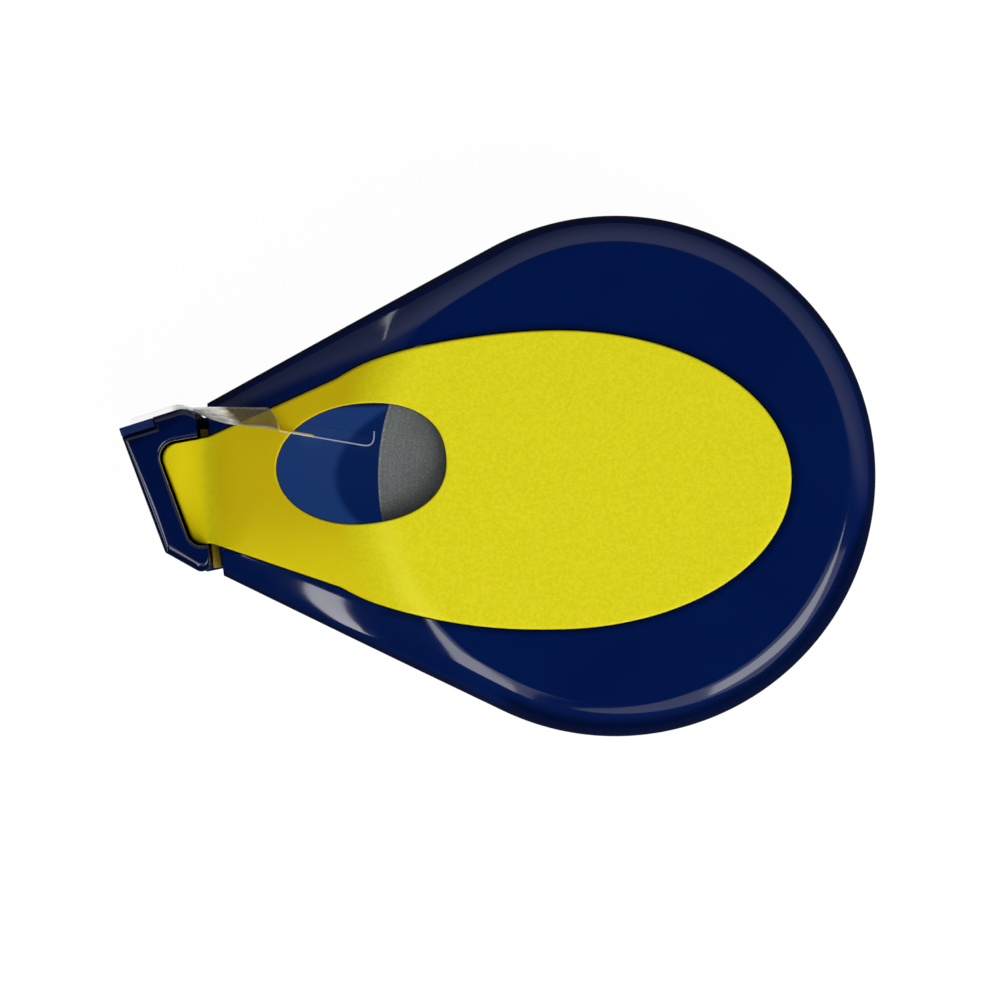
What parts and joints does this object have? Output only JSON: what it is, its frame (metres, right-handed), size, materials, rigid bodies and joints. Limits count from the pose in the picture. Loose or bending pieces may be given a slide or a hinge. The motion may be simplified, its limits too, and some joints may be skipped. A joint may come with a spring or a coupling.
{
  "type": "hand tape dispenser",
  "caption": "Small hand-held tape dispenser with a round drum, a tapering neck, an inlaid grip pad with an oval window, and a cutting nose.",
  "frame": {"origin": "on the drum's axis, in the plane of the flat underside", "axes": "+Z out of the thumb side, along the drum's axis; the neck and nose run along -X; the tape runs along the +Y side of the nose"},
  "size_m": [0.0653, 0.045, 0.0227],
  "materials": {
    "navy_shell": "glossy, slightly clear navy blue",
    "navy_nose": "glossy, slightly clear navy blue",
    "yellow_grip": "matt, fine grain",
    "cutter": "glossy, clear blue",
    "hub_plastic": "satin",
    "core_board": "matt",
    "tape_wound": "wound film edges, finely frosted",
    "tape_film": "thin clear film"
  },
  "bodies": {
    "body": {"base_shell": "navy_shell", "palm_pad": "yellow_grip", "nose_head": "navy_nose", "cutter_strip": "cutter", "tape_strip": "tape_film"},
    "reel": {"reel_hub": "hub_plastic", "roll_core": "core_board", "tape_roll": "tape_wound"},
    "cover": {"cover_shell": "navy_shell", "thumb_pad": "yellow_grip"}
  },
  "joints": [
    {"name": "reel_spin", "type": "hinge", "parent": "body", "child": "reel", "pos_m": [0, 0, 0.01], "axis": [0, 0, 1], "continuous": true},
    {"name": "cover_lift", "type": "slide", "parent": "body", "child": "cover", "axis": [0, 0, 1], "range_m": [0, 0.028]}
  ]
}
